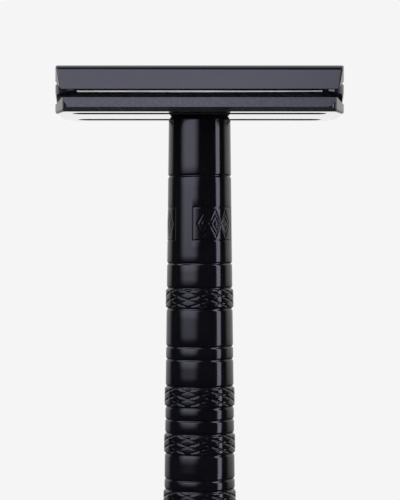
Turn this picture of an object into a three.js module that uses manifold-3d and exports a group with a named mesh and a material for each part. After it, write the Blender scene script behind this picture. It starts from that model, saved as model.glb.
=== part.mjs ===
// A three-piece double-edge safety razor, closed and ready to use, standing upright on its handle.
// Millimetres, +Z up. The origin is the centre of the handle's flat end. X runs along the cutting
// edges, which face -Y and +Y. Heights on the head are measured from the joint, the plane where
// the handle's top face meets the underside of the guard plate.
import * as THREE from "three";
import { mergeVertices } from "three/addons/utils/BufferGeometryUtils.js";
import Module from "manifold-3d";

const wasm = await Module();
wasm.setup();

// Handle: a straight taper, turned with fine grooves and slightly proud knurled bands.
const HANDLE_LENGTH = 95;
const NECK_DIAMETER = 9.8;
const TAPER = 0.0235; // how much the diameter grows for each millimetre below the joint
const JOINT_FACE_DIAMETER = 9.1;
const JOINT_CHAMFER = 0.57;
const END_CHAMFER = 0.8;
const GROOVE_DISTANCES = [9.5, 23.3, 36.4, 38.4, 47.9, 57.3, 64.1, 71.1, 88.2]; // below the joint
const GROOVE_WIDTH = 0.55;
const GROOVE_DEPTH = 0.18;
const BAND_STARTS = [27.2, 42.7, 50.1, 59.0, 66.0]; // below the joint
const BAND_WIDTH = 3.2;
const BAND_PROUD = 0.15;
const BAND_CHAMFER = 0.3;
const UNDERCUT_WIDTH = 0.35;

// Thread: M5 in a bushing, drawn as plain cylinders on the thread's pitch diameter.
const STUD_DIAMETER = 4.5;
const STUD_REACH = 8; // how far the stud enters the handle when the razor is closed
const BUSHING_DIAMETER = 7;
const BUSHING_LENGTH = 10;
const BUSHING_FLANGE = 0.2; // how far the bushing sits below the handle's top face
const BUSHING_LEAD = 0.3; // chamfer at the mouth of the bushing
const THREAD_GAP = 0.08;
const PRESS_GAP = 0.02;

// Blade: 43 mm by 22 mm of thin strip, bent over the guard plate's bed.
const BLADE_WIDTH = 22;
const BLADE_THICKNESS = 0.1;
const BLADE_EDGE_LENGTH = 37.3;
const BLADE_LENGTH = 43;
const BLADE_TAB_WIDTH = 15.6;
const TAB_CORNER = 0.6; // break of the tabs' outer corners
const TAB_FILLET = 0.5; // where a tab meets the wide part
const WIDE_OVERHANG = 0.2; // how far the wide part reaches past each end of the cutting edge
const EDGE_CORNER = 0.4; // how far back from the cutting edge that overhang starts
const BLADE_SLOT = { length: 33, width: 2.4 };
const GRIND_WIDTH = 0.9; // of the ground facets along each cutting edge
const EDGE_THICKNESS = 0.02;
const BLADE_CENTRE_HOLE = 6;
const BLADE_PIN_HOLE = 3.9;
const BEND_RADIUS = 25.3; // of the blade's upper surface
const BLADE_CREST = 5.45; // height of the blade's upper surface at its middle
const BEND_CENTRE = BLADE_CREST - BEND_RADIUS;
const PARTING_RADIUS = BEND_RADIUS - BLADE_THICKNESS / 2; // the blade's middle surface
const BLADE_GAP = 0.07; // above and below the blade
const BED_CREST = BLADE_CREST - BLADE_THICKNESS - BLADE_GAP;

// Plan of the head: each end is flat in the middle and turns back by a round into a straight flank.
const HEAD_HALF_LENGTH = 22.58;
const END_FLAT_HALF_WIDTH = 4.1;
const HEAD_END = { radius: 12, flank: THREE.MathUtils.degToRad(15.2) };
const BED_END = { radius: 4.4, flank: THREE.MathUtils.degToRad(60) };
const CAP_END_BREAK = 0.2; // of the cap's upper edges at both ends
const PARTING_CHAMFER = 0.36;
const POCKET_HALF_LENGTH = 21.7; // the hollow between cap and plate that the blade lies in
const POCKET_HALF_WIDTH = 14; // past the head's own width, so that both long sides are open
const LIP_GAP = 0.03; // between the cap and the plate where they meet, outside the pocket

// Cap: flat top, two flat sloping faces, and a hollow underside.
const CAP_TOP = 7.6;
const CAP_FACE_TOP = 6.68;
const CAP_FACE_ANGLE = THREE.MathUtils.degToRad(52);
const CAP_EDGE = [9.9, 3.6]; // the lower end of the sloping face
const CAP_UNDERSIDE_HALF_WIDTH = 9.8;

// Guard plate: a bed for the blade, a lather channel under each cutting edge, and the guard bars.
const BED_HALF_WIDTH = 8.5;
const CHANNEL_CEILING = [3.45, 3.0]; // at the bed's lip, and at the channel's inner wall
const CHANNEL_WALL = 5.4;
const CHANNEL_FLOOR = 1.5;
const CHANNEL_FILLETS = [0.4, 0.3]; // at the wall's foot and at its top
const FLOOR_FLAT_END = 7.3;
const GUARD_CREST = [11.67, 2.15];
const GUARD_CREST_WIDTH = 0.4;
const GUARD_FACE_BOTTOM = [12.75, 0.6];
const UNDERSIDE_HALF_WIDTH = 11.05;
const PLATE_END_ROUND = 0.45; // of the plate's lower edge at both ends
const PLATE_CORNER_RADIUS = 1.7;
const WAIST_RECESS = 0.24; // how far the plate's waist leans in at each end, at the channels' floor
const WAIST_TOP = 3.3; // where it starts to lean in
const DRAIN_SLOT = { length: 39.4, width: 3.4, offset: 6.9 };
const STUD_HOLE = 5.4;

// Locating pins: pressed into the cap, through the blade, into holes in the plate.
const PIN_DIAMETER = 3;
const PIN_OFFSET = 10.4;
const PIN_BOTTOM = BED_CREST - 2.6;
const PIN_HOLE = 3.3;
const PIN_HOLE_DEPTH = 3.3; // from the bed, so that the holes don't show underneath
const CAP_BORE_TOP = BLADE_CREST + 1.2; // where the stud and the pins end inside the cap

const OVERSHOOT = 0.2; // how far a fitted cutter reaches past the surface it cuts
const WELL_PAST = 1; // how far a plain cutter or a blank reaches past everything it must pass
const MIDDLE_HALF = 0.3; // half the width of the flat facet in the middle of a bent surface
const ARC_STEPS = 16;
const CORNER_STEPS = 5;
const END_STEPS = 8;
const SLOT_STEPS = 10;
const ROUND_STEPS = 32;
const HANDLE_STEPS = 48;

const blackAluminium = new THREE.MeshStandardMaterial({ color: 0x17171a, metalness: 0.4, roughness: 0.22 });
const bladeSteel = new THREE.MeshStandardMaterial({ color: 0xb9b7b4, metalness: 1, roughness: 0.25 });
const brightSteel = new THREE.MeshStandardMaterial({ color: 0x9a9b9d, metalness: 1, roughness: 0.3 });
const brass = new THREE.MeshStandardMaterial({ color: 0xb08a4a, metalness: 1, roughness: 0.35 });

// ---- Solids from three.js geometries, and their booleans ----

function solidOf(geometry) {
  const bare = geometry.clone();
  bare.deleteAttribute("normal");
  bare.deleteAttribute("uv");
  const merged = mergeVertices(bare, 1e-4);
  return new wasm.Manifold(
    new wasm.Mesh({
      numProp: 3,
      vertProperties: new Float32Array(merged.attributes.position.array),
      triVerts: new Uint32Array(merged.index.array),
    }),
  );
}

function cut(body, ...tools) {
  return tools.reduce((left, tool) => left.subtract(tool), body);
}

function nodeOf(name, solid, material) {
  const { vertProperties, triVerts } = solid.getMesh();
  const geometry = new THREE.BufferGeometry();
  geometry.setAttribute("position", new THREE.BufferAttribute(new Float32Array(vertProperties), 3));
  geometry.setIndex(new THREE.BufferAttribute(new Uint32Array(triVerts), 1));
  geometry.computeVertexNormals();
  const mesh = new THREE.Mesh(geometry, material);
  mesh.name = name;
  return mesh;
}

const shapeOf = (points) => new THREE.Shape(points.map(([u, v]) => new THREE.Vector2(u, v)));

// A [y, z] outline, extruded along X over the given half length on each side of the middle.
function alongX(outline, halfLength) {
  const turn = new THREE.Matrix4().makeBasis(
    new THREE.Vector3(0, 1, 0),
    new THREE.Vector3(0, 0, 1),
    new THREE.Vector3(1, 0, 0),
  );
  const geometry = new THREE.ExtrudeGeometry(shapeOf(outline), { depth: 2 * halfLength, bevelEnabled: false });
  return solidOf(geometry.translate(0, 0, -halfLength).applyMatrix4(turn));
}

// An [x, y] outline, extruded along Z between two heights.
function alongZ(outline, bottom, top) {
  const geometry = new THREE.ExtrudeGeometry(shapeOf(outline), { depth: top - bottom, bevelEnabled: false });
  return solidOf(geometry.translate(0, 0, bottom));
}

function upright(diameter, bottom, top, x = 0) {
  const geometry = new THREE.CylinderGeometry(diameter / 2, diameter / 2, top - bottom, ROUND_STEPS);
  return solidOf(geometry.rotateX(Math.PI / 2).translate(x, 0, (top + bottom) / 2));
}

// ---- Outlines ----

// Points on an arc about a centre; angles in radians, from +U towards +V.
function arc([u, v], radius, from, to, steps) {
  return Array.from({ length: steps + 1 }, (_, i) => {
    const angle = from + ((to - from) * i) / steps;
    return [u + radius * Math.cos(angle), v + radius * Math.sin(angle)];
  });
}

const mirrored = (half) => [...half, ...half.map(([u, v]) => [-u, v]).reverse()];

// The height of a cylinder of this radius, coaxial with the bent blade, at a distance from the middle.
const bendHeight = (radius, y) => BEND_CENTRE + Math.sqrt(radius ** 2 - y ** 2);

// Points along that cylinder from one y to another, at even angles.
function bendArc(radius, fromY, toY, steps) {
  const angleOf = (y) => Math.PI / 2 - Math.asin(y / radius);
  return arc([0, BEND_CENTRE], radius, angleOf(fromY), angleOf(toY), steps);
}

// The x of a right end at a distance from the middle.
function endX(y, end = HEAD_END) {
  const past = Math.max(0, Math.abs(y) - END_FLAT_HALF_WIDTH);
  const onRound = Math.min(past, end.radius * Math.sin(end.flank));
  const round = HEAD_HALF_LENGTH - end.radius + Math.sqrt(end.radius ** 2 - onRound ** 2);
  return round - (past - onRound) * Math.tan(end.flank);
}

// A plan with such ends out to a half width, with round corners where their radius is given.
function endedPlan(halfWidth, end = HEAD_END, cornerRadius = 0) {
  const centre = [HEAD_HALF_LENGTH - end.radius, END_FLAT_HALF_WIDTH];
  const round = arc(centre, end.radius, 0, end.flank, END_STEPS);
  let corner = [[endX(halfWidth, end), halfWidth]];
  if (cornerRadius > 0) {
    const y = halfWidth - cornerRadius;
    const cornerCentre = [endX(y, end) - cornerRadius / Math.cos(end.flank), y];
    corner = arc(cornerCentre, cornerRadius, end.flank, Math.PI / 2, CORNER_STEPS);
  }
  const quarter = [...round, ...corner];
  const rightEnd = [...quarter.map(([x, y]) => [x, -y]).reverse(), ...quarter];
  return [...rightEnd, ...rightEnd.map(([x, y]) => [-x, -y])];
}

// ---- Cutters shared by the cap and the plate ----

// A bar that follows the head's end at x > 0 along a path of [y, z] points. corners(y, z) gives its
// [x, z] corners, counter-clockwise with X to the right and Z up; its first corner sees all the others.
function endBar(path, corners) {
  const rings = path.map(([y, z]) => corners(y, z).map(([x, height]) => [x, y, height]));
  const sides = rings[0].length;
  const index = [];
  for (let start = 0; start < sides * (rings.length - 1); start += sides) {
    for (let k = 0; k < sides; k++) {
      const a = start + k;
      const b = start + ((k + 1) % sides);
      index.push(a, b + sides, b, a, a + sides, b + sides);
    }
  }
  const last = sides * (rings.length - 1);
  for (let k = 1; k < sides - 1; k++) index.push(0, k, k + 1, last, last + k + 1, last + k);
  const geometry = new THREE.BufferGeometry();
  geometry.setAttribute("position", new THREE.Float32BufferAttribute(rings.flat(2), 3));
  geometry.setIndex(index);
  return geometry;
}

// The same bar at both ends of the head.
function endBars(path, corners) {
  const right = endBar(path, corners);
  const left = right.clone().rotateZ(Math.PI);
  return [solidOf(right), solidOf(left)];
}

// Evenly spaced path points out to a half width, at a height that depends on y.
function evenPath(halfWidth, height) {
  return Array.from({ length: ARC_STEPS + 1 }, (_, i) => {
    const y = halfWidth * ((2 * i) / ARC_STEPS - 1);
    return [y, height(y)];
  });
}

// The V where the cap's and the plate's ends meet.
const partingPath = evenPath(CAP_EDGE[0] + OVERSHOOT / 2, (y) => bendHeight(PARTING_RADIUS, y));
const partingGroove = endBars(partingPath, (y, z) => {
  const spread = PARTING_CHAMFER + OVERSHOOT;
  const outside = endX(y) + OVERSHOOT;
  return [
    [outside - spread, z],
    [outside, z - spread],
    [outside, z + spread],
  ];
});

// The hollow that the blade lies in, between two cylinders coaxial with its bend.
const bladePocket = alongX(
  [
    ...bendArc(BEND_RADIUS + BLADE_GAP, -POCKET_HALF_WIDTH, POCKET_HALF_WIDTH, 2 * ARC_STEPS),
    ...bendArc(
      BEND_RADIUS - BLADE_THICKNESS - BLADE_GAP,
      POCKET_HALF_WIDTH,
      -POCKET_HALF_WIDTH,
      2 * ARC_STEPS,
    ),
  ],
  POCKET_HALF_LENGTH,
);

// ---- Pieces ----

function topCap() {
  const roundRadius = (CAP_TOP - CAP_FACE_TOP) / (1 - Math.cos(CAP_FACE_ANGLE));
  const faceTopY = CAP_EDGE[0] - (CAP_FACE_TOP - CAP_EDGE[1]) / Math.tan(CAP_FACE_ANGLE);
  const roundCentre = [faceTopY - roundRadius * Math.sin(CAP_FACE_ANGLE), CAP_TOP - roundRadius];
  const shoulder = arc(roundCentre, roundRadius, Math.PI / 2 - CAP_FACE_ANGLE, Math.PI / 2, CORNER_STEPS);
  const section = mirrored([
    ...bendArc(PARTING_RADIUS + LIP_GAP, MIDDLE_HALF, CAP_UNDERSIDE_HALF_WIDTH, ARC_STEPS),
    CAP_EDGE,
    ...shoulder,
  ]);
  const plan = alongZ(endedPlan(CAP_EDGE[0] + WELL_PAST), 0, CAP_TOP + WELL_PAST);
  const blank = alongX(section, HEAD_HALF_LENGTH + WELL_PAST).intersect(plan);
  const bores = [
    upright(STUD_DIAMETER + 2 * PRESS_GAP, 0, CAP_BORE_TOP),
    upright(PIN_DIAMETER + 2 * PRESS_GAP, 0, CAP_BORE_TOP, -PIN_OFFSET),
    upright(PIN_DIAMETER + 2 * PRESS_GAP, 0, CAP_BORE_TOP, PIN_OFFSET),
  ];
  const pastFace = [CAP_EDGE[0] + WELL_PAST, CAP_EDGE[1] - WELL_PAST * Math.tan(CAP_FACE_ANGLE)];
  const upperEdge = mirrored([pastFace, ...shoulder].map(([y, z]) => [-y, z]));
  const endBreak = endBars(upperEdge, (y, z) => [
    [endX(y) + OVERSHOOT, z - CAP_END_BREAK - OVERSHOOT],
    [endX(y) + OVERSHOOT, z + OVERSHOOT],
    [endX(y) - CAP_END_BREAK - OVERSHOOT, z + OVERSHOOT],
  ]);
  return cut(blank, bladePocket, ...partingGroove, ...endBreak, ...bores);
}

function guardPlate() {
  const baseSection = mirrored([
    [UNDERSIDE_HALF_WIDTH, 0],
    GUARD_FACE_BOTTOM,
    GUARD_CREST,
    [GUARD_CREST[0] - GUARD_CREST_WIDTH, GUARD_CREST[1]],
    [FLOOR_FLAT_END, CHANNEL_FLOOR],
  ]);
  const bedSection = mirrored([
    [CHANNEL_WALL + CHANNEL_FILLETS[0], CHANNEL_FLOOR - OVERSHOOT],
    [CHANNEL_WALL + CHANNEL_FILLETS[0], CHANNEL_FLOOR],
    [CHANNEL_WALL, CHANNEL_FLOOR + CHANNEL_FILLETS[0]],
    [CHANNEL_WALL, CHANNEL_CEILING[1] - CHANNEL_FILLETS[1]],
    [CHANNEL_WALL + CHANNEL_FILLETS[1], CHANNEL_CEILING[1]],
    [BED_HALF_WIDTH, CHANNEL_CEILING[0]],
    ...bendArc(PARTING_RADIUS - LIP_GAP, BED_HALF_WIDTH, MIDDLE_HALF, ARC_STEPS),
  ]);
  const basePlan = endedPlan(GUARD_FACE_BOTTOM[0], HEAD_END, PLATE_CORNER_RADIUS);
  const bedPlan = endedPlan(BED_HALF_WIDTH + OVERSHOOT, BED_END);
  const blankHalfLength = HEAD_HALF_LENGTH + WELL_PAST;
  const base = alongX(baseSection, blankHalfLength).intersect(alongZ(basePlan, -WELL_PAST, CAP_TOP));
  const bed = alongX(bedSection, blankHalfLength).intersect(alongZ(bedPlan, -WELL_PAST, CAP_TOP));
  const endRound = endBars(evenPath(GUARD_FACE_BOTTOM[0] + WELL_PAST, () => 0), (y, z) => {
    const centre = [endX(y) - PLATE_END_ROUND, z + PLATE_END_ROUND];
    return [
      [endX(y) + OVERSHOOT, z - OVERSHOOT],
      [endX(y) + OVERSHOOT, centre[1]],
      ...arc(centre, PLATE_END_ROUND, 0, -Math.PI / 2, CORNER_STEPS),
      [centre[0], z - OVERSHOOT],
    ];
  });
  const lean = (WAIST_TOP - CHANNEL_FLOOR) * (1 + OVERSHOOT / WAIST_RECESS);
  const waistRecess = endBars(evenPath(CHANNEL_WALL + WELL_PAST, () => CHANNEL_FLOOR), (y, z) => [
    [endX(y, BED_END) + OVERSHOOT, z],
    [endX(y, BED_END) + OVERSHOOT, z + lean],
    [endX(y, BED_END) - WAIST_RECESS, z],
  ]);
  const holes = [
    upright(STUD_HOLE, -WELL_PAST, CAP_TOP),
    upright(PIN_HOLE, BED_CREST - PIN_HOLE_DEPTH, CAP_TOP, -PIN_OFFSET),
    upright(PIN_HOLE, BED_CREST - PIN_HOLE_DEPTH, CAP_TOP, PIN_OFFSET),
  ];
  return cut(
    base.add(bed),
    bladePocket,
    ...partingGroove,
    ...endRound,
    ...waistRecess,
    ...[-1, 1].map((side) => drainSlot(side * DRAIN_SLOT.offset)),
    ...holes,
  );
}

function drainSlot(y) {
  const radius = DRAIN_SLOT.width / 2;
  const x = DRAIN_SLOT.length / 2 - radius;
  const outline = [
    ...arc([x, y], radius, -Math.PI / 2, Math.PI / 2, SLOT_STEPS),
    ...arc([-x, y], radius, Math.PI / 2, 1.5 * Math.PI, SLOT_STEPS),
  ];
  return alongZ(outline, -WELL_PAST, CHANNEL_FLOOR + CHANNEL_FILLETS[0]);
}

// The blade: a strip bent over the bed, its plan cut through from above. A distance across the flat
// blade becomes an angle about the bend's axis, which shortens it in plan.
function bentBlade() {
  const bent = (y) => PARTING_RADIUS * Math.sin(y / PARTING_RADIUS);
  const edge = BLADE_EDGE_LENGTH / 2;
  const end = BLADE_LENGTH / 2;
  const tab = BLADE_TAB_WIDTH / 2;
  const half = BLADE_WIDTH / 2;
  const corner = [
    [end, bent(tab - TAB_CORNER)],
    [end - TAB_CORNER, bent(tab)],
    [edge + WIDE_OVERHANG + TAB_FILLET, bent(tab)],
    [edge + WIDE_OVERHANG, bent(tab + TAB_FILLET)],
    [edge + WIDE_OVERHANG, bent(half - EDGE_CORNER)],
    [edge, bent(half)],
  ];
  const frontHalf = mirrored(corner);
  const outline = [...frontHalf, ...frontHalf.map(([x, y]) => [x, -y]).reverse()];
  const ground = bent(half - GRIND_WIDTH);
  const tip = bent(half);
  const tipHeight = bendHeight(PARTING_RADIUS, tip);
  const strip = alongX(
    mirrored([
      ...bendArc(BEND_RADIUS - BLADE_THICKNESS, MIDDLE_HALF, ground, ARC_STEPS),
      [tip, tipHeight - EDGE_THICKNESS / 2],
      [tip, tipHeight + EDGE_THICKNESS / 2],
      ...bendArc(BEND_RADIUS, ground, MIDDLE_HALF, ARC_STEPS),
    ]),
    BLADE_LENGTH,
  );
  const slotEnd = BLADE_SLOT.length / 2;
  const slotHalf = BLADE_SLOT.width / 2;
  const slot = [
    [-slotEnd, -slotHalf],
    [slotEnd, -slotHalf],
    [slotEnd, slotHalf],
    [-slotEnd, slotHalf],
  ];
  return cut(
    strip.intersect(alongZ(outline, 0, CAP_TOP)),
    alongZ(slot, 0, CAP_TOP),
    upright(BLADE_CENTRE_HOLE, 0, CAP_TOP),
    upright(BLADE_PIN_HOLE, 0, CAP_TOP, -PIN_OFFSET),
    upright(BLADE_PIN_HOLE, 0, CAP_TOP, PIN_OFFSET),
  );
}

// The handle's radius where nothing is cut into it, at a distance below the joint.
const taperRadius = (distance) => (NECK_DIAMETER + TAPER * distance) / 2;

function grooveOutline(distance) {
  const radius = taperRadius(distance);
  return [
    [radius, distance - GROOVE_WIDTH / 2],
    [radius - GROOVE_DEPTH, distance],
    [radius, distance + GROOVE_WIDTH / 2],
  ];
}

// A knurled band, proud of the taper, between two narrow undercuts.
function bandOutline(start) {
  const end = start + BAND_WIDTH;
  return [
    [taperRadius(start), start - UNDERCUT_WIDTH],
    [taperRadius(start) - GROOVE_DEPTH, start],
    [taperRadius(start) + BAND_PROUD, start + BAND_CHAMFER],
    [taperRadius(end) + BAND_PROUD, end - BAND_CHAMFER],
    [taperRadius(end) - GROOVE_DEPTH, end],
    [taperRadius(end), end + UNDERCUT_WIDTH],
  ];
}

function turnedHandle() {
  const details = [...GROOVE_DISTANCES.map(grooveOutline), ...BAND_STARTS.map(bandOutline)];
  details.sort((a, b) => a[0][1] - b[0][1]);
  const endRadius = taperRadius(HANDLE_LENGTH);
  const boreRadius = BUSHING_DIAMETER / 2 + PRESS_GAP;
  const profile = [
    [0, BUSHING_FLANGE + BUSHING_LENGTH],
    [boreRadius, BUSHING_FLANGE + BUSHING_LENGTH],
    [boreRadius, 0],
    [JOINT_FACE_DIAMETER / 2, 0],
    [taperRadius(JOINT_CHAMFER), JOINT_CHAMFER],
    ...details.flat(),
    [endRadius, HANDLE_LENGTH - END_CHAMFER],
    [endRadius - END_CHAMFER, HANDLE_LENGTH],
    [0, HANDLE_LENGTH],
  ];
  return turned(profile);
}

// A solid turned about Z from its [radius, distance below the joint] profile.
function turned(profile) {
  const points = profile.map(([radius, distance]) => new THREE.Vector2(radius, -distance));
  return solidOf(new THREE.LatheGeometry(points.reverse(), HANDLE_STEPS).rotateX(Math.PI / 2));
}

function bushing() {
  const inner = STUD_DIAMETER / 2 + THREAD_GAP;
  const outer = BUSHING_DIAMETER / 2;
  const top = BUSHING_FLANGE;
  const bottom = BUSHING_FLANGE + BUSHING_LENGTH;
  return turned([
    [inner, bottom],
    [inner, top + BUSHING_LEAD],
    [inner + BUSHING_LEAD, top],
    [outer, top],
    [outer, bottom],
    [inner, bottom],
  ]);
}

// ---- The assembly ----

const razor = new THREE.Group();
const closedHead = new THREE.Group();
closedHead.add(
  nodeOf("top_cap", topCap(), blackAluminium),
  nodeOf("threaded_stud", upright(STUD_DIAMETER, -STUD_REACH, CAP_BORE_TOP), brightSteel),
  nodeOf("locating_pin_left", upright(PIN_DIAMETER, PIN_BOTTOM, CAP_BORE_TOP, -PIN_OFFSET), brightSteel),
  nodeOf("locating_pin_right", upright(PIN_DIAMETER, PIN_BOTTOM, CAP_BORE_TOP, PIN_OFFSET), brightSteel),
  nodeOf("double_edge_blade", bentBlade(), bladeSteel),
  nodeOf("guard_plate", guardPlate(), blackAluminium),
);
const grip = new THREE.Group();
grip.add(
  nodeOf("handle", turnedHandle(), blackAluminium),
  nodeOf("threaded_bushing", bushing(), brass),
);
closedHead.position.z = HANDLE_LENGTH;
grip.position.z = HANDLE_LENGTH;
razor.add(closedHead, grip);

export default razor;
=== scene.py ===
"""The looks of a black double-edge safety razor: a knurled and engraved handle, real threads,
rounded edges and procedural materials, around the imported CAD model. Metres, +Z up; the camera
looks along +Y at the front cutting edge."""
import math

import bpy
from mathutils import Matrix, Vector


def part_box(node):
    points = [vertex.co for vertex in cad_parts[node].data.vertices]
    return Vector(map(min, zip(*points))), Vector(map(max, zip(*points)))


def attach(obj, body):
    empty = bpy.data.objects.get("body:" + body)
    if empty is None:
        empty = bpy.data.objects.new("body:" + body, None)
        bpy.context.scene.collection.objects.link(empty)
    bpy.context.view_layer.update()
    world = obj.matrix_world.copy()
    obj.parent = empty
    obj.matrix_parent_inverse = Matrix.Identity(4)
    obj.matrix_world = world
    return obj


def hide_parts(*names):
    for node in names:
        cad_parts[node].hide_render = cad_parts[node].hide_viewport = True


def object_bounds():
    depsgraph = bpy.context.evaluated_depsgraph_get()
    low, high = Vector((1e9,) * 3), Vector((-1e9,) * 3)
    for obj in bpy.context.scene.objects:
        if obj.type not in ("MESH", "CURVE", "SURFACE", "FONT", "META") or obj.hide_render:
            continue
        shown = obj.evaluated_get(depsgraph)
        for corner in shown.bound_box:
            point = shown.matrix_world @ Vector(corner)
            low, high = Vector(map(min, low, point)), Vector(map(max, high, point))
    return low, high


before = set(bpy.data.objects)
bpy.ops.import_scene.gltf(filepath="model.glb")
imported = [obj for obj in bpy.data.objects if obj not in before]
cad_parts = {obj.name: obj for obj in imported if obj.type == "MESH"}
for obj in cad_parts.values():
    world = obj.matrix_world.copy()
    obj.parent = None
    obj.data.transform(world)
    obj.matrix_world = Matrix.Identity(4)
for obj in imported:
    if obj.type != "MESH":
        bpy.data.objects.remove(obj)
cad_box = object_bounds()

MM = 0.001
FULL_TURN = 2 * math.pi
scene = bpy.context.scene

# ---- Places that come from the frame ----

HANDLE_LOW, HANDLE_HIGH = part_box("handle")
STUD_LOW, STUD_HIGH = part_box("threaded_stud")
BUSHING_LOW, BUSHING_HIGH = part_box("threaded_bushing")
JOINT_Z = HANDLE_HIGH.z  # the plane where the handle meets the guard plate
HANDLE_LENGTH = (HANDLE_HIGH.z - HANDLE_LOW.z) / MM
BUSHING_RADIUS = (BUSHING_HIGH.x - BUSHING_LOW.x) / 2 / MM

# ---- Handle design, in millimetres; distances are measured down from the joint ----

NECK_RADIUS = 4.9
TAPER = 0.01175  # growth of the radius per millimetre
JOINT_FACE_RADIUS = 4.55
JOINT_CHAMFER = 0.57
END_CHAMFER = 0.8
CORNER_ROUND = 0.15  # how far the rounding of a turned corner reaches along its sides
GROOVES = [9.5, 23.3, 36.4, 38.4, 47.9, 57.3, 64.1, 71.1, 88.2]
GROOVE_HALF_WIDTH = 0.275
GROOVE_DEPTH = 0.18
BANDS = [27.2, 42.7, 50.1, 59.0, 66.0]
BAND_WIDTH = 3.2
BAND_PROUD = 0.15
BAND_CHAMFER = 0.3
UNDERCUT_WIDTH = 0.35

KNURL_STARTS = 9
KNURL_PITCH = 1.19
KNURL_DEPTH = 0.17
KNURL_HALF_WIDTH = 0.17  # of a groove, as a share of the pitch

MARK_CENTRE = 17.08
MARK_HALF_HEIGHT = 2.575
MARK_HALF_WIDTH = 3.65  # round the handle's surface
MARK_COUNT = 3  # around the handle
MARK_AZIMUTH = math.radians(30)  # of one mark's middle; 0 is towards the camera and 90 towards +X
MARK_LINE = 0.15  # half the width of an engraved line
MARK_DEPTH = 0.09
DIAMOND_OFFSETS = [-2.0, 0.0, 2.0]  # of their middles, from the mark's middle
DIAMOND_HALF_WIDTH = 1.0
DIAMOND_HALF_HEIGHT = 1.85
INNER_DIAMOND = 0.45  # the size of the diamond inside each diamond

THREAD_PITCH = 0.8
THREAD_MINOR = 2.05
THREAD_MAJOR = 2.45
THREAD_CLEARANCE = 0.1
STUD_TIP_CHAMFER = 0.5
BUSHING_MOUTH_CHAMFER = 0.2
BUSHING_RIM_CHAMFER = 0.2
PRESS_GAP = 0.02  # between the bushing and the handle
PIN_LEAD = 0.5  # how much thinner a pin's end is, over twice that length

AROUND_HANDLE = 240
AROUND_THREAD = 64
AROUND_PIN = 48
FINE_STEP = 0.09  # between rows where there is detail
PLAIN_STEP = 1.5  # between rows on the plain taper
EDGE_MARGIN = 0.06  # of plain rows kept beside each detail

WELD_DISTANCE = 0.02
FLAT_ANGLE = math.radians(0.6)  # triangles that differ by less belong to one flat face


# ---- Mesh helpers ----

def new_object(name, vertices, faces):
    mesh = bpy.data.meshes.new(name)
    mesh.from_pydata(vertices, [], faces)
    mesh.validate()
    mesh.update()
    mesh.polygons.foreach_set("use_smooth", [True] * len(mesh.polygons))
    piece = bpy.data.objects.new(name, mesh)
    scene.collection.objects.link(piece)
    return piece


def turned(name, rows, around, centre_x=0.0):
    """A closed solid of revolution about an upright axis. rows holds (height, radius), in order
    round the section. A radius is a function of azimuth, or None on the axis, where the section
    then starts and ends; without that, the section closes on itself."""
    rings = [row for row in rows if row[1] is not None]
    vertices = []
    for z, radius in rings:
        for i in range(around):
            azimuth = FULL_TURN * i / around
            r = radius(azimuth) * MM
            vertices.append((centre_x + r * math.sin(azimuth), -r * math.cos(azimuth), z))
    on_axis = len(rings) < len(rows)
    faces = []
    for k in range(len(rings) - 1 if on_axis else len(rings)):
        low = k * around
        high = (k + 1) % len(rings) * around
        for i in range(around):
            j = (i + 1) % around
            faces.append((low + i, low + j, high + j, high + i))
    if on_axis:
        first = len(vertices)
        top = (len(rings) - 1) * around
        vertices += [(centre_x, 0, rows[0][0]), (centre_x, 0, rows[-1][0])]
        for i in range(around):
            j = (i + 1) % around
            faces.append((first, j, i))
            faces.append((first + 1, top + i, top + j))
    return new_object(name, vertices, faces)


def constant(radius):
    return lambda azimuth: radius


def valley(offset, half_width):
    """1 at the bottom of a V and 0 from its rims outwards."""
    return max(0.0, 1.0 - abs(offset) / half_width)


def stepped(start, end, step):
    """Even values from start to end, both included, at most a step apart."""
    count = math.ceil((end - start) / step)
    return [start + (end - start) * i / count for i in range(count + 1)]


def rounded_corner(before, corner, after, size=CORNER_ROUND, steps=4):
    """Points that round a corner of a section; it stays inside the corner."""
    corner = Vector(corner)
    a = corner + (Vector(before) - corner).normalized() * size
    b = corner + (Vector(after) - corner).normalized() * size
    points = []
    for i in range(steps + 1):
        t = i / steps
        points.append(tuple((1 - t) ** 2 * a + 2 * t * (1 - t) * corner + t ** 2 * b))
    return points


# ---- Handle ----

def taper_radius(distance):
    return NECK_RADIUS + TAPER * distance


def into_band(distance, start):
    """How far a distance is inside a band; negative outside it."""
    return min(distance - start, start + BAND_WIDTH - distance)


def turned_radius(distance):
    """The handle's radius before knurling and engraving."""
    radius = taper_radius(distance)
    for groove in GROOVES:
        radius -= GROOVE_DEPTH * valley(distance - groove, GROOVE_HALF_WIDTH)
    for start in BANDS:
        into = into_band(distance, start)
        if -UNDERCUT_WIDTH < into <= 0:
            radius -= GROOVE_DEPTH * (1 + into / UNDERCUT_WIDTH)
        elif into > 0:
            rise = min(1.0, into / BAND_CHAMFER)
            radius += -GROOVE_DEPTH + (GROOVE_DEPTH + BAND_PROUD) * rise
    return radius


def knurl_depth(distance, azimuth):
    """Two families of helical V-grooves, crossed, on each band."""
    depth = 0.0
    for start in BANDS:
        into = into_band(distance, start)
        if into > 0:
            along = (distance - start) / KNURL_PITCH
            turn = KNURL_STARTS * azimuth / FULL_TURN
            for phase in (turn + along, turn - along):
                offset = 0.5 - abs(phase % 1.0 - 0.5)
                cut = KNURL_DEPTH * valley(offset, KNURL_HALF_WIDTH) * min(1.0, into / BAND_CHAMFER)
                depth = max(depth, cut)
    return depth


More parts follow.
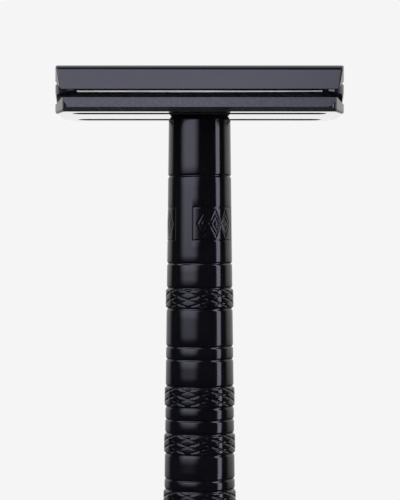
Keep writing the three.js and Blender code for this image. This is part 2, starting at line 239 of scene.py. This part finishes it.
def mark_depth(distance, azimuth):
    """An engraved frame with a row of nested diamonds, repeated around the handle."""
    v = distance - MARK_CENTRE
    if abs(v) > MARK_HALF_HEIGHT + MARK_LINE:
        return 0.0
    spacing = FULL_TURN / MARK_COUNT
    local = (azimuth - MARK_AZIMUTH + spacing / 2) % spacing - spacing / 2
    u = local * taper_radius(MARK_CENTRE)
    line = valley(max(abs(u) - MARK_HALF_WIDTH, abs(v) - MARK_HALF_HEIGHT), MARK_LINE)
    slant = math.hypot(DIAMOND_HALF_WIDTH, DIAMOND_HALF_HEIGHT)
    for middle in DIAMOND_OFFSETS:
        reach = abs(u - middle) / DIAMOND_HALF_WIDTH + abs(v) / DIAMOND_HALF_HEIGHT
        for size in (1.0, INNER_DIAMOND):
            offset = (reach - size) * DIAMOND_HALF_WIDTH * DIAMOND_HALF_HEIGHT / slant
            line = max(line, valley(offset, MARK_LINE))
    return MARK_DEPTH * line


def handle_distances(first, last):
    """Row distances: close together where there is detail, far apart on the plain taper."""
    groove = GROOVE_HALF_WIDTH + EDGE_MARGIN
    undercut = UNDERCUT_WIDTH + EDGE_MARGIN
    mark = MARK_HALF_HEIGHT + MARK_LINE + EDGE_MARGIN
    details = [(centre - groove, centre + groove) for centre in GROOVES]
    details += [(start - undercut, start + BAND_WIDTH + undercut) for start in BANDS]
    details.append((MARK_CENTRE - mark, MARK_CENTRE + mark))
    rows = []
    reached = first
    for start, end in sorted(details):
        rows += stepped(reached, start, PLAIN_STEP)[:-1]
        rows += stepped(start, end, FINE_STEP)[:-1]
        reached = end
    return rows + stepped(reached, last, PLAIN_STEP)


def build_handle():
    rim = (0.0, JOINT_FACE_RADIUS)
    neck = (JOINT_CHAMFER, taper_radius(JOINT_CHAMFER))
    heel = (HANDLE_LENGTH - END_CHAMFER, taper_radius(HANDLE_LENGTH - END_CHAMFER))
    toe = (HANDLE_LENGTH, taper_radius(HANDLE_LENGTH) - END_CHAMFER)
    plain_start = JOINT_CHAMFER + CORNER_ROUND
    plain_end = HANDLE_LENGTH - END_CHAMFER - CORNER_ROUND
    upper = rounded_corner((0.0, 0.0), rim, neck)
    upper += rounded_corner(rim, neck, (plain_start, taper_radius(plain_start)))
    lower = rounded_corner((plain_end, taper_radius(plain_end)), heel, toe)
    lower += rounded_corner(heel, toe, (HANDLE_LENGTH, 0.0))

    def detailed(distance):
        plain = turned_radius(distance)
        return lambda azimuth: plain - knurl_depth(distance, azimuth) - mark_depth(distance, azimuth)

    bore = BUSHING_RADIUS + PRESS_GAP
    bore_end = (JOINT_Z - BUSHING_LOW.z) / MM
    section = [(bore_end, None), (bore_end, constant(bore))]
    section += [(CORNER_ROUND, constant(bore)), (0.0, constant(bore + CORNER_ROUND))]
    section += [(distance, constant(radius)) for distance, radius in upper]
    middle = handle_distances(plain_start + EDGE_MARGIN, plain_end - EDGE_MARGIN)
    section += [(distance, detailed(distance)) for distance in middle]
    section += [(distance, constant(radius)) for distance, radius in lower]
    section.append((HANDLE_LENGTH, None))
    rows = [(JOINT_Z - distance * MM, radius) for distance, radius in section]
    piece = turned("handle_turned", rows, AROUND_HANDLE)
    piece.data.flip_normals()
    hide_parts("handle")
    return piece


# ---- Threads and pins ----

def thread_radius(azimuth, z, minor, major):
    """The radius of a right-hand 60 degree thread; its phase is the same on stud and bushing."""
    phase = (z / MM / THREAD_PITCH - azimuth / FULL_TURN) % 1.0
    rise = 1.25 * 2 * abs(phase - 0.5) - 0.125
    return minor + (major - minor) * min(1.0, max(0.0, rise))


def build_stud():
    tip_radius = THREAD_MINOR - STUD_TIP_CHAMFER

    def stud_radius(z):
        largest = tip_radius + (z - STUD_LOW.z) / MM
        return lambda azimuth: min(largest, thread_radius(azimuth, z, THREAD_MINOR, THREAD_MAJOR))

    heights = stepped(STUD_LOW.z, STUD_HIGH.z, THREAD_PITCH / 8 * MM)
    rows = [(STUD_LOW.z, None)]
    rows += [(z, stud_radius(z)) for z in heights]
    rows.append((STUD_HIGH.z, None))
    piece = turned("stud_thread", rows, AROUND_THREAD)
    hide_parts("threaded_stud")
    return piece


def build_bushing():
    mouth_radius = THREAD_MAJOR + BUSHING_MOUTH_CHAMFER

    def bore_radius(z):
        smallest = mouth_radius - (BUSHING_HIGH.z - z) / MM

        def radius(azimuth):
            wall = thread_radius(azimuth, z, THREAD_MINOR, THREAD_MAJOR) + THREAD_CLEARANCE
            return max(smallest, wall)

        return radius

    heights = stepped(BUSHING_LOW.z, BUSHING_HIGH.z, THREAD_PITCH / 8 * MM)
    rows = [(z, bore_radius(z)) for z in heights]
    rows.append((BUSHING_HIGH.z, constant(BUSHING_RADIUS - BUSHING_RIM_CHAMFER)))
    rows.append((BUSHING_HIGH.z - BUSHING_RIM_CHAMFER * MM, constant(BUSHING_RADIUS)))
    rows.append((BUSHING_LOW.z, constant(BUSHING_RADIUS)))
    piece = turned("bushing_thread", rows, AROUND_THREAD)
    piece.data.flip_normals()
    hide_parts("threaded_bushing")
    return piece


def build_pin(node, name):
    low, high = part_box(node)
    radius = (high.x - low.x) / 2 / MM
    tip = (0, radius - PIN_LEAD)
    shoulder = (PIN_LEAD / 2, radius - PIN_LEAD / 4)
    full = (2 * PIN_LEAD, radius)
    section = [tip, *rounded_corner(tip, shoulder, full, PIN_LEAD / 2), full]
    rows = [(low.z, None)]
    rows += [(low.z + up * MM, constant(r)) for up, r in section]
    rows += [(high.z, constant(radius)), (high.z, None)]
    piece = turned(name, rows, AROUND_PIN, centre_x=(low.x + high.x) / 2)
    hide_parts(node)
    return piece


# ---- CAD pieces that keep their shape, with rounded edges ----

def round_edges(node, width, angle_deg=30, segments=3):
    """Joins the triangles of each flat face, rounds the edges between faces, and keeps the wide
    faces looking flat."""
    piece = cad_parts[node]
    piece.data.polygons.foreach_set("use_smooth", [True] * len(piece.data.polygons))
    weld = piece.modifiers.new("weld", "WELD")
    weld.merge_threshold = WELD_DISTANCE * MM
    flat = piece.modifiers.new("flat", "DECIMATE")
    flat.decimate_type = "DISSOLVE"
    flat.angle_limit = FLAT_ANGLE
    bevel = piece.modifiers.new("bevel", "BEVEL")
    bevel.width = width * MM
    bevel.segments = segments
    bevel.limit_method = "ANGLE"
    bevel.angle_limit = math.radians(angle_deg)
    normals = piece.modifiers.new("normals", "WEIGHTED_NORMAL")
    normals.weight = 100
    return piece


# ---- Node trees ----

class Nodes:
    """Short calls that add nodes to a material's or a world's tree."""

    def __init__(self, owner):
        owner.use_nodes = True
        self.tree = owner.node_tree

    def add(self, kind, sources=None, values=None, **settings):
        """A node with sockets linked to sources or set to values, by name or number."""
        node = self.tree.nodes.new(kind)
        for setting, value in settings.items():
            setattr(node, setting, value)
        for key, source in (sources or {}).items():
            self.tree.links.new(source, node.inputs[key])
        for key, value in (values or {}).items():
            node.inputs[key].default_value = value
        return node

    def link(self, source, node, socket):
        self.tree.links.new(source, node.inputs[socket])

    def coordinates(self, kind, scale=(1, 1, 1)):
        coords = self.add("ShaderNodeTexCoord")
        mapping = self.add("ShaderNodeMapping", {"Vector": coords.outputs[kind]}, {"Scale": scale})
        return mapping.outputs["Vector"]

    def noise(self, vector, scale, detail=2.0):
        values = {"Scale": scale, "Detail": detail}
        return self.add("ShaderNodeTexNoise", {"Vector": vector}, values).outputs["Fac"]

    def remap(self, source, old, new, smooth=False):
        values = {"From Min": old[0], "From Max": old[1], "To Min": new[0], "To Max": new[1]}
        kind = "SMOOTHSTEP" if smooth else "LINEAR"
        node = self.add("ShaderNodeMapRange", {"Value": source}, values, interpolation_type=kind)
        return node.outputs["Result"]

    def math(self, operation, *operands):
        node = self.add("ShaderNodeMath", operation=operation)
        for i, operand in enumerate(operands):
            if isinstance(operand, float):
                node.inputs[i].default_value = operand
            else:
                self.link(operand, node, i)
        return node.outputs[0]

    def mix(self, factor, first, second):
        """Two colours, each a socket or three numbers, mixed by a factor."""
        node = self.add("ShaderNodeMix", {"Factor": factor}, data_type="RGBA")
        for socket, colour in ((6, first), (7, second)):
            if isinstance(colour, tuple):
                node.inputs[socket].default_value = (*colour, 1.0)
            else:
                self.link(colour, node, socket)
        return node.outputs[2]


# ---- Materials ----

IOR = 1.5
CLOUD_SCALE = 0.35  # noise scales are for a millimetre
SCUFF_SCALE = 2.5
SMEAR_SCALE = 0.8
GRAIN_SCALE = 3.0
CLOUD_LIGHTER = 1.3  # the lightest colour, as a multiple of the base
SMEAR_RANGE = (0.85, 1.2)  # of the roughness, as multiples of its value
WORN_POINTINESS = (0.53, 0.62)  # where wear starts, and where it is full


def finish(name, base, metallic, roughness, worn, wear, grain, grain_height):
    """A principled material. Its colour and roughness vary softly over millimetres, its edges are
    worn towards another colour, and a fine grain, stretched by the given scale, is cut into it."""
    made = bpy.data.materials.new(name)
    nodes = Nodes(made)
    shader = nodes.tree.nodes["Principled BSDF"]
    shader.inputs["Metallic"].default_value = metallic
    shader.inputs["IOR"].default_value = IOR
    vector = nodes.coordinates("Object", (1 / MM, 1 / MM, 1 / MM))
    cloud = nodes.remap(nodes.noise(vector, CLOUD_SCALE, 3.0), (0.35, 0.65), (0.0, 1.0))
    lighter = tuple(CLOUD_LIGHTER * channel for channel in base)
    mottled = nodes.mix(cloud, base, lighter)
    edges = nodes.add("ShaderNodeNewGeometry").outputs["Pointiness"]
    scuffs = nodes.remap(nodes.noise(vector, SCUFF_SCALE, 4.0), (0.4, 0.7), (0.3, 1.0))
    edge_wear = nodes.math("MULTIPLY", nodes.remap(edges, WORN_POINTINESS, (0.0, wear)), scuffs)
    nodes.link(nodes.mix(edge_wear, mottled, worn), shader, "Base Color")
    rough_range = [multiple * roughness for multiple in SMEAR_RANGE]
    smears = nodes.remap(nodes.noise(vector, SMEAR_SCALE, 4.0), (0.3, 0.7), rough_range)
    nodes.link(smears, shader, "Roughness")
    lines = nodes.noise(nodes.coordinates("Object", [s / MM for s in grain]), GRAIN_SCALE)
    bump = nodes.add("ShaderNodeBump", {"Height": lines}, {"Strength": 1.0, "Distance": grain_height * MM})
    nodes.link(bump.outputs["Normal"], shader, "Normal")
    return made


def dress(piece, made, body=None):
    """Gives a piece its material. A CAD node already has its slot and its body."""
    piece.data.materials.clear()
    piece.data.materials.append(made)
    if body:
        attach(piece, body)


# ---- Studio ----

CAMERA_DISTANCE = 0.3
CAMERA_DROP = 21.16 * MM  # how far the camera is below the joint
VIEW_HEIGHT = 79.37 * MM  # what the camera's long side takes in at the handle's axis
CARD_TINT = (0.93, 0.93, 1.18)
CARD_DISTANCE = 0.5  # of the soft boxes from the head

# What reflections see of the world. A direction's parts are X to the right, Y back and Z up.
BACK_AZIMUTH = math.radians(174)  # of the bright back's middle; 0 is towards the camera
BACK_FADE = (0.22, 0.54)  # cosines of the angle to that middle, from dark to full
BACK_DARK = 0.01
RIGHT_FADE = (0.1, 0.65)  # X, from the left strength to the right strength
RIGHT_STRENGTH = (0.75, 0.8)
HORIZON_FADE = (-0.35, 0.02)  # Z, from the strength below to full
BELOW_HORIZON = 0.08
WINDOW_FADE = (0.975, 0.997)  # Y, from nothing to the strength straight behind
WINDOW_STRENGTH = 0.7
BACKDROP = (0.913, 0.913, 0.921)

FLOOR_RADIUS = 0.3
FLOOR_FADE = (0.06, 0.22)  # from opaque to clear, measured from the razor
FLOOR_GAP = 0.02 * MM
FLOOR_COLOUR = (0.86, 0.86, 0.865)
FLOOR_SIDES = 96


def add_camera():
    data = bpy.data.cameras.new("camera")
    data.lens = data.sensor_width * CAMERA_DISTANCE / VIEW_HEIGHT
    data.clip_start = 0.01
    camera = bpy.data.objects.new("camera", data)
    camera.location = (0.06 * MM, -CAMERA_DISTANCE, JOINT_Z - CAMERA_DROP)
    camera.rotation_euler = (math.pi / 2, 0, 0)
    scene.collection.objects.link(camera)
    scene.camera = camera


def glow(name, half_width, half_height, radiance, soft):
    """Emission that fades out towards a card's rims, over the given shares of its half sizes."""
    made = bpy.data.materials.new(name)
    nodes = Nodes(made)
    nodes.tree.nodes.clear()
    coords = nodes.add("ShaderNodeTexCoord").outputs["Object"]
    split = nodes.add("ShaderNodeSeparateXYZ", {0: coords})
    strength = radiance
    for axis, half, share in (("X", half_width, soft[0]), ("Y", half_height, soft[1])):
        from_middle = nodes.math("ABSOLUTE", split.outputs[axis])
        fade = nodes.remap(from_middle, (half * (1 - share), half), (1.0, 0.0), smooth=True)
        strength = nodes.math("MULTIPLY", fade, strength)
    emission = nodes.add("ShaderNodeEmission", {"Strength": strength}, {"Color": (*CARD_TINT, 1.0)})
    nodes.add("ShaderNodeOutputMaterial", {"Surface": emission.outputs[0]})
    return made


def add_card(name, centre, rotation, width, height, radiance, soft):
    """A glowing rectangle that the camera doesn't see itself, only its reflections."""
    half_w = width / 2
    half_h = height / 2
    corners = [(-half_w, -half_h, 0), (half_w, -half_h, 0), (half_w, half_h, 0), (-half_w, half_h, 0)]
    card = new_object(name, corners, [(0, 1, 2, 3)])
    card.location = centre
    card.rotation_euler = rotation
    card.visible_camera = False
    card.data.materials.append(glow(name, half_w, half_h, radiance, soft))


def add_softbox(name, azimuth_deg, elevation_deg, width_deg, height_deg, radiance, soft):
    """A card that faces the razor. Azimuth 0 is towards the camera and 90 is towards +X."""
    azimuth = math.radians(azimuth_deg)
    elevation = math.radians(elevation_deg)
    direction = Vector((
        math.sin(azimuth) * math.cos(elevation),
        -math.cos(azimuth) * math.cos(elevation),
        math.sin(elevation),
    ))
    width = 2 * CARD_DISTANCE * math.tan(math.radians(width_deg / 2))
    height = 2 * CARD_DISTANCE * math.tan(math.radians(height_deg / 2))
    centre = Vector((0, 0, JOINT_Z - CAMERA_DROP)) + direction * CARD_DISTANCE
    rotation = direction.to_track_quat("Z", "Y").to_euler()
    add_card(name, centre, rotation, width, height, radiance, soft)


def add_overhead():
    """A level card over the head, turned so that its left end is further back."""
    centre = Vector((-0.247, -0.038, JOINT_Z + 0.45))
    turn = (0, 0, math.radians(-24))
    add_card("overhead_card", centre, turn, width=0.82, height=0.27, radiance=1.95, soft=(0.39, 0.22))


def add_world():
    """Seen by the camera, one pale grey. Seen in reflections, dark in front and white behind, a
    little brighter on the right, darker below the horizon, and brightest straight behind."""
    world = bpy.data.worlds.new("studio")
    nodes = Nodes(world)
    nodes.tree.nodes.clear()
    direction = nodes.add("ShaderNodeTexCoord").outputs["Generated"]
    split = nodes.add("ShaderNodeSeparateXYZ", {0: direction})
    to_middle = nodes.add("ShaderNodeVectorMath", {0: direction}, operation="DOT_PRODUCT")
    to_middle.inputs[1].default_value = (math.sin(BACK_AZIMUTH), -math.cos(BACK_AZIMUTH), 0)
    back = nodes.remap(to_middle.outputs["Value"], BACK_FADE, (BACK_DARK, 1.0), smooth=True)
    right = nodes.remap(split.outputs["X"], RIGHT_FADE, RIGHT_STRENGTH, smooth=True)
    horizon = nodes.remap(split.outputs["Z"], HORIZON_FADE, (BELOW_HORIZON, 1.0))
    surround = nodes.math("MULTIPLY", nodes.math("MULTIPLY", back, right), horizon)
    window = nodes.remap(split.outputs["Y"], WINDOW_FADE, (0.0, WINDOW_STRENGTH), smooth=True)
    strength = nodes.math("ADD", surround, window)
    white = nodes.add("ShaderNodeBackground", {"Strength": strength}, {"Color": (1.0, 1.0, 1.0, 1.0)})
    pale = nodes.add("ShaderNodeBackground", values={"Color": (*BACKDROP, 1.0)})
    camera_ray = nodes.add("ShaderNodeLightPath").outputs["Is Camera Ray"]
    choose = nodes.add("ShaderNodeMixShader", {0: camera_ray, 1: white.outputs[0], 2: pale.outputs[0]})
    nodes.add("ShaderNodeOutputWorld", {"Surface": choose.outputs[0]})
    scene.world = world


def add_floor():
    """A pale disc under the razor that fades out into the background and isn't seen in
    reflections."""
    vertices = [(0, 0, 0)]
    for i in range(FLOOR_SIDES):
        angle = FULL_TURN * i / FLOOR_SIDES
        vertices.append((FLOOR_RADIUS * math.cos(angle), FLOOR_RADIUS * math.sin(angle), 0))
    faces = [(0, i + 1, (i + 1) % FLOOR_SIDES + 1) for i in range(FLOOR_SIDES)]
    floor = new_object("floor", vertices, faces)
    made = bpy.data.materials.new("floor")
    nodes = Nodes(made)
    shader = nodes.tree.nodes["Principled BSDF"]
    shader.inputs["Base Color"].default_value = (*FLOOR_COLOUR, 1.0)
    shader.inputs["Roughness"].default_value = 0.8
    coords = nodes.add("ShaderNodeTexCoord").outputs["Object"]
    length = nodes.add("ShaderNodeVectorMath", {0: coords}, operation="LENGTH").outputs["Value"]
    nodes.link(nodes.remap(length, FLOOR_FADE, (1.0, 0.0), smooth=True), shader, "Alpha")
    floor.data.materials.append(made)
    floor.visible_glossy = False
    floor.location.z = cad_box[0][2] - FLOOR_GAP


# ---- The razor ----

WORN_BLACK = (0.09, 0.09, 0.095)
coated_black = finish(
    "coated_black", (0.009, 0.009, 0.0105), metallic=0.0, roughness=0.07,
    worn=WORN_BLACK, wear=0.4, grain=(0.6, 0.6, 0.6), grain_height=0.0002,
)
handle_black = finish(
    "handle_black", (0.006, 0.006, 0.0068), metallic=0.0, roughness=0.1,
    worn=WORN_BLACK, wear=0.25, grain=(0.2, 0.2, 7.0), grain_height=0.0004,
)
blade_steel = finish(
    "blade_steel", (0.66, 0.65, 0.63), metallic=1.0, roughness=0.15,
    worn=(0.78, 0.77, 0.75), wear=0.3, grain=(0.2, 3.0, 0.2), grain_height=0.0003,
)
stud_steel = finish(
    "stud_steel", (0.52, 0.52, 0.53), metallic=1.0, roughness=0.27,
    worn=(0.7, 0.7, 0.71), wear=0.5, grain=(0.4, 0.4, 8.0), grain_height=0.003,
)
bushing_brass = finish(
    "bushing_brass", (0.6, 0.42, 0.2), metallic=1.0, roughness=0.3,
    worn=(0.78, 0.6, 0.32), wear=0.5, grain=(0.4, 0.4, 8.0), grain_height=0.003,
)

scene.view_settings.view_transform = "Standard"
add_camera()
add_world()
add_floor()
add_overhead()
add_softbox(
    "left_card", azimuth_deg=-38, elevation_deg=24, width_deg=80, height_deg=70,
    radiance=2.05, soft=(0.75, 0.6),
)
add_softbox(
    "right_card", azimuth_deg=69.5, elevation_deg=15, width_deg=17, height_deg=90,
    radiance=3.0, soft=(0.15, 0.15),
)

dress(build_handle(), handle_black, "handle")
dress(build_bushing(), bushing_brass, "handle")
dress(build_stud(), stud_steel, "cap")
dress(build_pin("locating_pin_left", "dowel_left"), stud_steel, "cap")
dress(build_pin("locating_pin_right", "dowel_right"), stud_steel, "cap")
dress(round_edges("top_cap", 0.15), coated_black)
dress(round_edges("guard_plate", 0.08, angle_deg=18.5), coated_black)
dress(round_edges("double_edge_blade", 0.004, angle_deg=50, segments=1), blade_steel)
